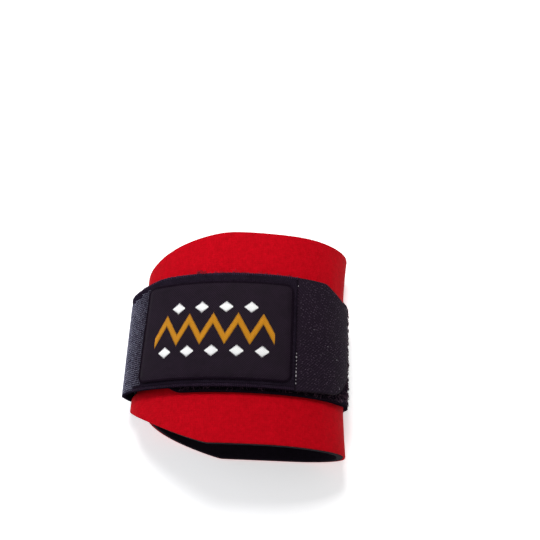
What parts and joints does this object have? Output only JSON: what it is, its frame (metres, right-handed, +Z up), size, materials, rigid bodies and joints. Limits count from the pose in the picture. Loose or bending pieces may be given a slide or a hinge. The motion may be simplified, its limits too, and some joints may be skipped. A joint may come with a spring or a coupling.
{
  "type": "wrist support",
  "caption": "Neoprene wrist support closed into a loop: red wrap with black lining, a strap drawn through a wire ring and held by a hook tab, with a woven label sewn on top.",
  "frame": {"origin": "on the surface that the loop lies on, under the middle of the strap and close to the middle of the flat run", "axes": "+X across the loop towards the hook tab, +Y along the wrist, +Z up from the resting face to the label"},
  "size_m": [0.0926, 0.086, 0.0466],
  "materials": {
    "red_knit": "matt stretch knit",
    "black_lining": "matt knit on foam",
    "loop_tape": "loop pile with a twill back",
    "ring_wire": "bright plated wire",
    "label_weave": "woven satin",
    "hook_tape": "woven back of hook tape"
  },
  "bodies": {
    "root": {"outer_face": "red_knit", "foam_lining": "black_lining", "strap": "loop_tape", "ring": "ring_wire", "label": "label_weave", "hook_tab": "hook_tape"}
  },
  "joints": []
}
